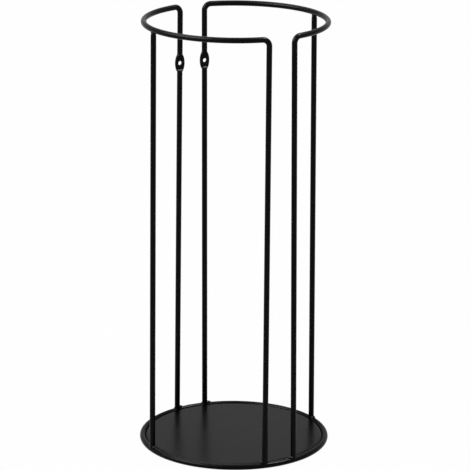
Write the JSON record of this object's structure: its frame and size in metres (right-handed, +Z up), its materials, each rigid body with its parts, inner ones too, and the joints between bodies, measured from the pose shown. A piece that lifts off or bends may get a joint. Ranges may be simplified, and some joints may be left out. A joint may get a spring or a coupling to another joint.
{
  "type": "toilet roll holder",
  "caption": "Free-standing wire cage that stores spare toilet rolls in a stack, with a split top ring, a rimmed round base and eyelets for wall screws.",
  "frame": {"origin": "on the floor, at the centre of the round base", "axes": "+Z up along the stack of rolls; -Y towards the front gap between the front legs; +Y towards the wall, on the side of the eyelets; +X to the right seen from the front"},
  "size_m": [0.138, 0.138, 0.3133],
  "materials": {
    "wire_coat": "satin black powder coat on steel wire",
    "base_coat": "satin black powder coat on sheet steel"
  },
  "bodies": {
    "root": {"left_loop": "wire_coat", "right_loop": "wire_coat", "left_upright": "wire_coat", "right_upright": "wire_coat", "base_plate": "base_coat", "base_rim": "base_coat"}
  },
  "joints": []
}
